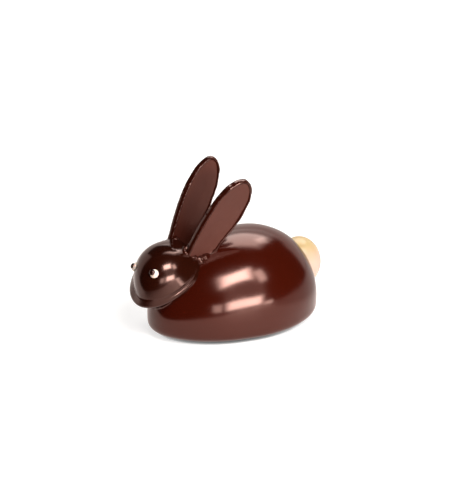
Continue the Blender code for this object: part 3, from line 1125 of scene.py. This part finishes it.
# %% [markdown]
# ## The room
#
# The world is the room as the chocolate sees it: a lit wall behind the bunny, up to a slanted
# top edge, and darkness in front. A picture of a room could do the same, but two soft steps
# show which edge makes which line in the reflections. The camera itself sees pure white.

# %% Room light
DARK_ROOM_BEARING = -16
ROOM_EDGE = -0.38
ROOM_SOFTNESS = 0.07
WALL_TOP_SLANT = Vector((0.287, 0.136, 1.0))
WALL_TOP = 0.75
ROOM_LIGHT = 0.02
WALL_LIGHT = 0.85

world = bpy.data.worlds.new("studio")
bpy.context.scene.world = world
world.use_nodes = True
tree = world.node_tree
background = tree.nodes["Background"]
where = add_node(tree, "ShaderNodeTexCoord")
facing = add_node(tree, "ShaderNodeVectorMath", {"operation": "DOT_PRODUCT"},
                  {1: bearing_vector(DARK_ROOM_BEARING, 0)}, {0: where.outputs["Generated"]})
rising = add_node(tree, "ShaderNodeVectorMath", {"operation": "DOT_PRODUCT"},
                  {1: WALL_TOP_SLANT}, {0: where.outputs["Generated"]})
behind = soft_step(tree, facing.outputs["Value"],
                   ROOM_EDGE - ROOM_SOFTNESS, ROOM_EDGE + ROOM_SOFTNESS, 1.0, 0.0)
below_top = soft_step(tree, rising.outputs["Value"],
                      WALL_TOP - ROOM_SOFTNESS, WALL_TOP + ROOM_SOFTNESS, 1.0, 0.0)
wall = calc(tree, "MULTIPLY", behind, below_top)
camera_sees = tree.nodes.new("ShaderNodeLightPath").outputs["Is Camera Ray"]
light = calc(tree, "MAXIMUM", calc(tree, "MULTIPLY_ADD", wall, WALL_LIGHT, ROOM_LIGHT), camera_sees)
tree.links.new(light, background.inputs["Strength"])
white = blend_colours(tree, camera_sees, BOARD_COLOUR, (1.0, 1.0, 1.0, 1.0))
tree.links.new(white, background.inputs["Color"])
print("lit wall beyond", ROOM_EDGE, "of the way round")

# %% [markdown]
# ## The lamps
#
# A frosted window high beside the camera and one low give the two rows of bright panes on the
# body, each with a smaller pane to its right. A wide softbox overhead, towards the wall, gives
# the pale band along the back. A single area lamp has a hard edge in a mirror, so each lamp is
# a stack of three, which fades like frosted glass.

# %% Lamps
LAMP_DISTANCE = 0.9
LAMP_COLOUR = (1.0, 0.97, 0.93)
LAYER_GAP = 10 * MM
LOOK_AT = Vector((-2.0, 0.0, 35.0)) * MM
# Bearing and height of the middle, width and height in degrees as seen from the bunny, and
# brightness
LAMPS = {
    "window_high": (-6, 47, 24, 16, 29.0),
    "window_high_side": (22, 38, 9, 16, 10.0),
    "window_low": (1, 7, 25, 12, 24.0),
    "window_low_side": (21, -1, 10, 5, 12.0),
    "window_low_far": (-23, 6, 11, 13, 6.0),
    "window_glow": (2, 27, 34, 26, 1.0),
    "overhead": (143, 62, 46, 30, 6.0),
    "overhead_low": (140, 40, 44, 22, 1.2),
    "overhead_side": (108, 54, 12, 12, 4.0),
}
# A frosted panel fades at its edge: each lamp is a stack of these shares of its size and light
SOFT_EDGE = ((0.85, 0.4), (1.0, 0.35), (1.2, 0.25))


def add_lamp(name, bearing, height, wide, tall, brightness):
    """A stack of area lamps in one direction, facing the bunny and unseen by the camera."""
    towards = bearing_vector(bearing, height)
    for layer, (spread, share) in enumerate(SOFT_EDGE):
        away = LAMP_DISTANCE + layer * LAYER_GAP
        light = bpy.data.lights.new(f"{name}_{layer}", "AREA")
        light.shape = "RECTANGLE"
        light.size = 2 * away * math.tan(math.radians(wide * spread) / 2)
        light.size_y = 2 * away * math.tan(math.radians(tall * spread) / 2)
        light.energy = brightness * share * math.pi * light.size * light.size_y
        light.color = LAMP_COLOUR
        lamp = bpy.data.objects.new(light.name, light)
        lamp.location = LOOK_AT + towards * away
        lamp.rotation_euler = towards.to_track_quat("Z", "Y").to_euler()
        lamp.visible_camera = False
        bpy.context.scene.collection.objects.link(lamp)
    print(name, "of", len(SOFT_EDGE), "layers")


for name, lamp in LAMPS.items():
    add_lamp(name, *lamp)

# %% [markdown]
# ## The black card
#
# A black card is held over a shiny thing where it is to look dark. This one hangs between the
# overhead softbox and the head, and keeps the crown and the feet of the ears dark. It stops
# short of what the body mirrors in its pale band.

# %% Black card
CARD_HEIGHT = 110
CARD_CORNERS = ((-80, 8), (-24, 8), (-14, 4), (5, 6), (5, 16), (-6, 26), (3, 52), (-6, 70),
                (-18, 110), (-80, 110))

corners = [Vector((x, y, CARD_HEIGHT)) * MM for x, y in CARD_CORNERS]
card_mesh = bpy.data.meshes.new("black_card")
card_mesh.from_pydata(corners, [], [range(len(corners))])
card = bpy.data.objects.new("black_card", card_mesh)
bpy.context.scene.collection.objects.link(card)
card_black, tree, shader = new_material("matt_black_card")
shader.inputs["Base Color"].default_value = linear("#050505")
shader.inputs["Roughness"].default_value = 0.9
card_mesh.materials.append(card_black)
card.visible_camera = False
print("black card of", len(corners), "corners")

# %% [markdown]
# ## The camera
#
# An 85 mm lens from 0.7 m, above and in front of the bunny's left side. The lens is long so
# that the egg keeps its true outline, as in a catalogue picture.

# %% Camera
CAMERA_BEARING = -30
CAMERA_HEIGHT = 22
CAMERA_DISTANCE = 0.70
CAMERA_AIM = Vector((-2.1, 0.0, 44.75)) * MM

camera_data = bpy.data.cameras.new("camera")
camera_data.lens = 85
camera_data.sensor_width = 36
camera_data.clip_start = 0.01
camera = bpy.data.objects.new("camera", camera_data)
bpy.context.scene.collection.objects.link(camera)
towards = bearing_vector(CAMERA_BEARING, CAMERA_HEIGHT)
camera.location = CAMERA_AIM + towards * CAMERA_DISTANCE
camera.rotation_euler = towards.to_track_quat("Z", "Y").to_euler()
bpy.context.scene.camera = camera
bpy.context.scene.view_settings.view_transform = "Standard"
print("camera at", [round(c, 3) for c in camera.location])
